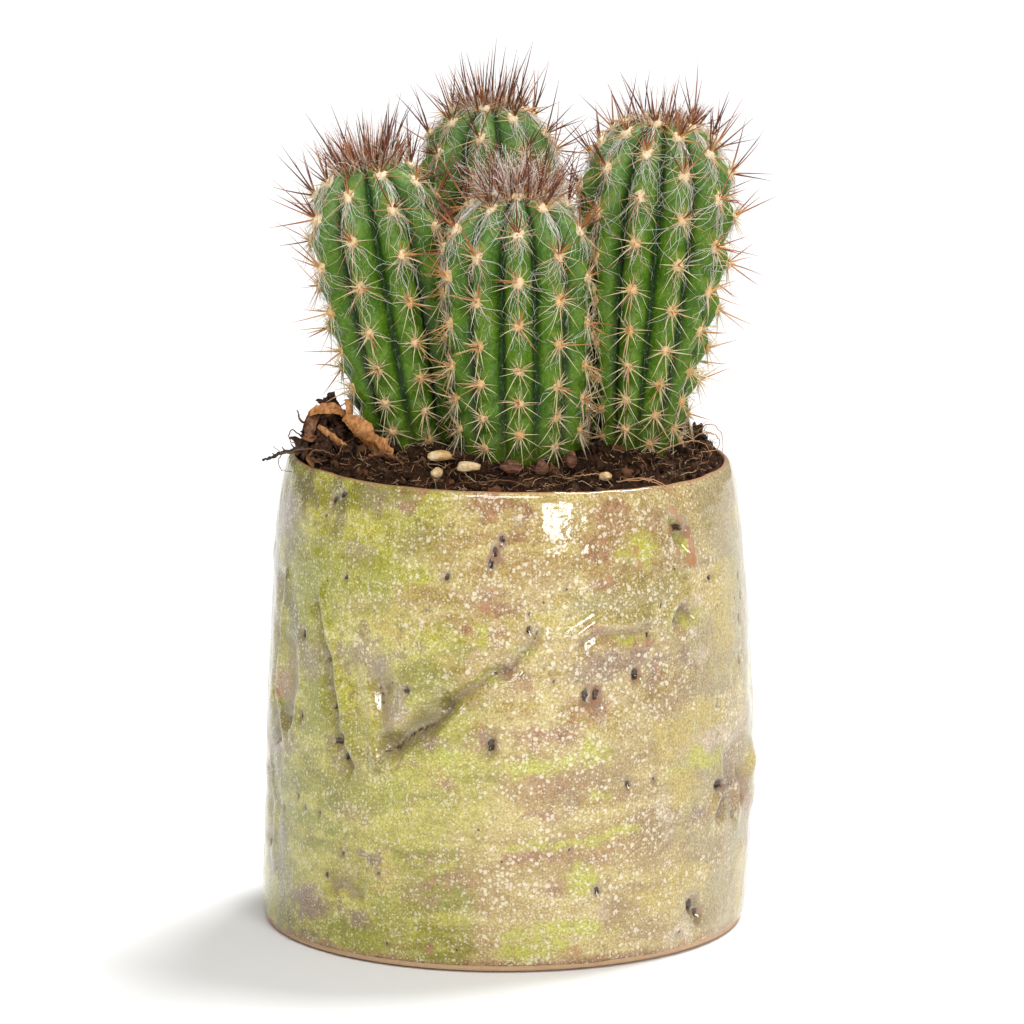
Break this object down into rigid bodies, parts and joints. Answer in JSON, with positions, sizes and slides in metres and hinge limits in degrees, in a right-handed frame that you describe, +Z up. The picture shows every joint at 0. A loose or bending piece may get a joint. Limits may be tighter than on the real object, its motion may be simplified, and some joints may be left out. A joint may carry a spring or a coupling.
{
  "type": "potted cactus",
  "caption": "Clump of columnar, ribbed, long-spined cactus stems growing in dark potting mix, in a plain round handmade glazed pot with a flat base.",
  "frame": {"origin": "centre of the pot's flat base, on the surface it stands on", "axes": "+Z up along the pot, -Y towards the side with the shortest stem, +X towards the tapered stem at its right"},
  "size_m": [0.1033, 0.099, 0.176],
  "materials": {
    "pot_glaze": "gloss",
    "soil": "matte",
    "stem_skin": "satin",
    "grit": "matte",
    "bark": "matte",
    "dry_leaf": "matte",
    "twig": "matte"
  },
  "bodies": {
    "root": {"pot": "pot_glaze", "potting_mix": "soil", "stem_front": "stem_skin", "stem_left": "stem_skin", "stem_right": "stem_skin", "stem_back": "stem_skin", "grit_stone_1": "grit", "grit_stone_2": "grit", "grit_stone_3": "grit", "grit_stone_4": "grit", "grit_stone_5": "grit", "grit_stone_6": "grit", "bark_chip_1": "bark", "bark_chip_2": "bark", "bark_chip_3": "bark", "bark_chip_4": "bark", "bark_chip_5": "bark", "dry_leaf_1": "dry_leaf", "dry_leaf_2": "dry_leaf", "dry_leaf_3": "dry_leaf", "twig": "twig"}
  },
  "joints": []
}
